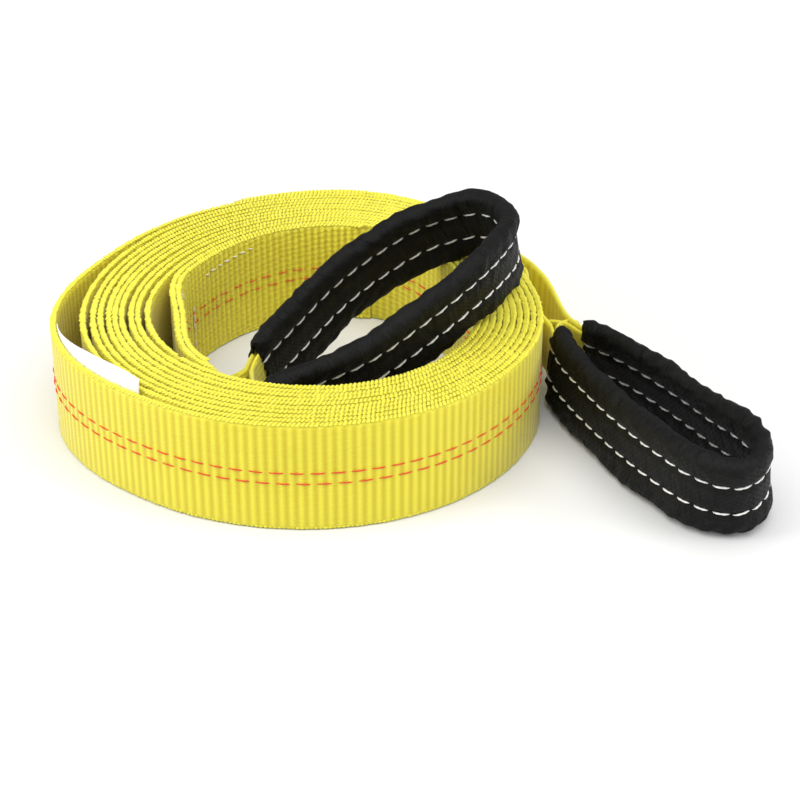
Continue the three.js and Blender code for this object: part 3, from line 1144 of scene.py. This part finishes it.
def tag_piece():
    """A tape sewn inside the outermost turn, which tips inwards above the webbing's edge."""
    columns = 60
    rows = 26
    rise_power = 1.6
    tip_power = 1.4
    curl_share = 0.1
    curl_down = 0.9
    curl_in = 0.5
    ripple = 0.35
    last_turn = 360 * (full_turns - 1)
    against_turn = webbing_thickness / 2 + tag_gap
    front = []
    back = []
    for i, angle in enumerate(np.linspace(tag_from, tag_to, columns)):
        share = i / (columns - 1)
        out = np.array([math.cos(math.radians(angle)), math.sin(math.radians(angle)), 0.0])
        radius = float(coil_radius_at(np.array([angle - last_turn]))[0]) - against_turn
        tip = tag_tip * math.sin(math.pi * (i + 1) / (columns + 1))
        curl = float(smoothstep((share - 1 + curl_share) / curl_share))
        high = webbing_width + tag_above_edge * (1 - (1 - share) ** rise_power) - curl_down * curl
        for j in range(rows):
            z = high - tag_height + tag_height * j / (rows - 1)
            above = max(0.0, (z - webbing_width + 1) / (tag_above_edge + 1))
            rippled = ripple * noise.noise(Vector((share * 5, z / 9, 4.0)))
            at = radius - tip * above**tip_power - above * (rippled + curl_in * curl)
            front.append(out * at + up * z)
            back.append(out * (at - tag_thickness) + up * z)
    count = columns * rows
    faces = []
    uv = []
    width = float(lengths_along(np.array(front)[::rows])[-1])

    def add_quad(corners):
        """Corners as (side, column, row), where side is 0 for the front and 1 for the back."""
        faces.append([side * count + i * rows + j for side, i, j in corners])
        for _, i, j in corners:
            uv.append((width * i / (columns - 1) * MM, tag_height * j / (rows - 1) * MM))

    for i in range(columns - 1):
        for j in range(rows - 1):
            ring = [(i, j), (i + 1, j), (i + 1, j + 1), (i, j + 1)]
            add_quad([(0, *at) for at in ring])
            add_quad([(1, *at) for at in ring[::-1]])
    border = [(i, 0) for i in range(columns)]
    border += [(columns - 1, j) for j in range(1, rows)]
    border += [(i, rows - 1) for i in range(columns - 2, -1, -1)]
    border += [(0, j) for j in range(rows - 2, 0, -1)]
    for here, after in zip(border, border[1:] + border[:1]):
        add_quad([(0, *after), (0, *here), (1, *here), (1, *after)])
    return new_piece("plain_label_tag", to_part(front + back), faces, tag_finish, uv), width


tag, tag_width = tag_piece()


# Floor, lights and camera

floor_reach = 6.0
world_strength = 0.38
overhead_strength = 2.95
overhead_spread = 75
overhead_tilt = 17
softbox_size = 1.0
strap_middle = (0.0, 0.0, 0.03)
camera_focus = 92.25
camera_elevation = 29.5556
camera_distance = 945.7
camera_target = (43.171, -3.409, 0.0)


def stage_floor():
    mesh = bpy.data.meshes.new("floor")
    corners = [(-1, -1), (1, -1), (1, 1), (-1, 1)]
    mesh.from_pydata([(x * floor_reach, y * floor_reach, 0) for x, y in corners], [], [(0, 1, 2, 3)])
    mesh.materials.append(new_material("pale_floor", "dcdcdc", 0.9, Specular_IOR_Level=0.2)[0])
    add_object("floor", mesh)


def softbox(name, place, power):
    """A round soft light that faces the middle of the strap."""
    light = bpy.data.lights.new(name, "AREA")
    light.shape = "DISK"
    light.size = softbox_size
    light.energy = power
    lamp = add_object(name, light)
    lamp.location = place
    towards_strap = Vector(strap_middle) - Vector(place)
    lamp.rotation_euler = towards_strap.to_track_quat("-Z", "Y").to_euler()


def overhead_light():
    """A wide, soft light from above, which lights the floor evenly."""
    light = bpy.data.lights.new("overhead", "SUN")
    light.angle = math.radians(overhead_spread)
    light.energy = overhead_strength
    lamp = add_object("overhead", light)
    lamp.rotation_euler = (math.radians(overhead_tilt), 0.0, 0.0)
    lamp.location = (0.0, 0.0, 2.0)


def studio():
    world = bpy.data.worlds.new("white_studio")
    world.use_nodes = True
    background = world.node_tree.nodes["Background"]
    background.inputs["Color"].default_value = (1, 1, 1, 1)
    background.inputs["Strength"].default_value = world_strength
    bpy.context.scene.world = world
    overhead_light()
    softbox("left_softbox", (-1.75, -0.45, 0.7), 17.0)
    softbox("right_softbox", (1.75, -0.5, 0.7), 14.0)
    bpy.context.scene.view_settings.view_transform = "Standard"


def camera():
    data = bpy.data.cameras.new("camera")
    data.sensor_width = 36.0
    data.lens = camera_focus
    data.clip_start = 0.05
    view = add_object("camera", data)
    tilt = math.radians(camera_elevation)
    back = np.array([0.0, -math.cos(tilt), math.sin(tilt)]) * camera_distance
    view.location = to_part(np.array(camera_target) + back)
    view.rotation_euler = (math.pi / 2 - tilt, 0.0, 0.0)
    bpy.context.scene.camera = view


stage_floor()
studio()
camera()

# How each piece goes with the frame
for slot, node, pieces in (
    ("webbing", "webbing", (webbing, top_beads, bottom_beads, tracers, lap_stitches)),
    ("sleeve", "inner_eye_sleeve", (inner_sleeve, inner_stitches)),
    ("sleeve", "outer_eye_sleeve", (outer_sleeve, outer_stitches)),
    ("tag", "label_tag", (tag,)),
):
    for piece in pieces:
        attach(piece, "root")
        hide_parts(node)
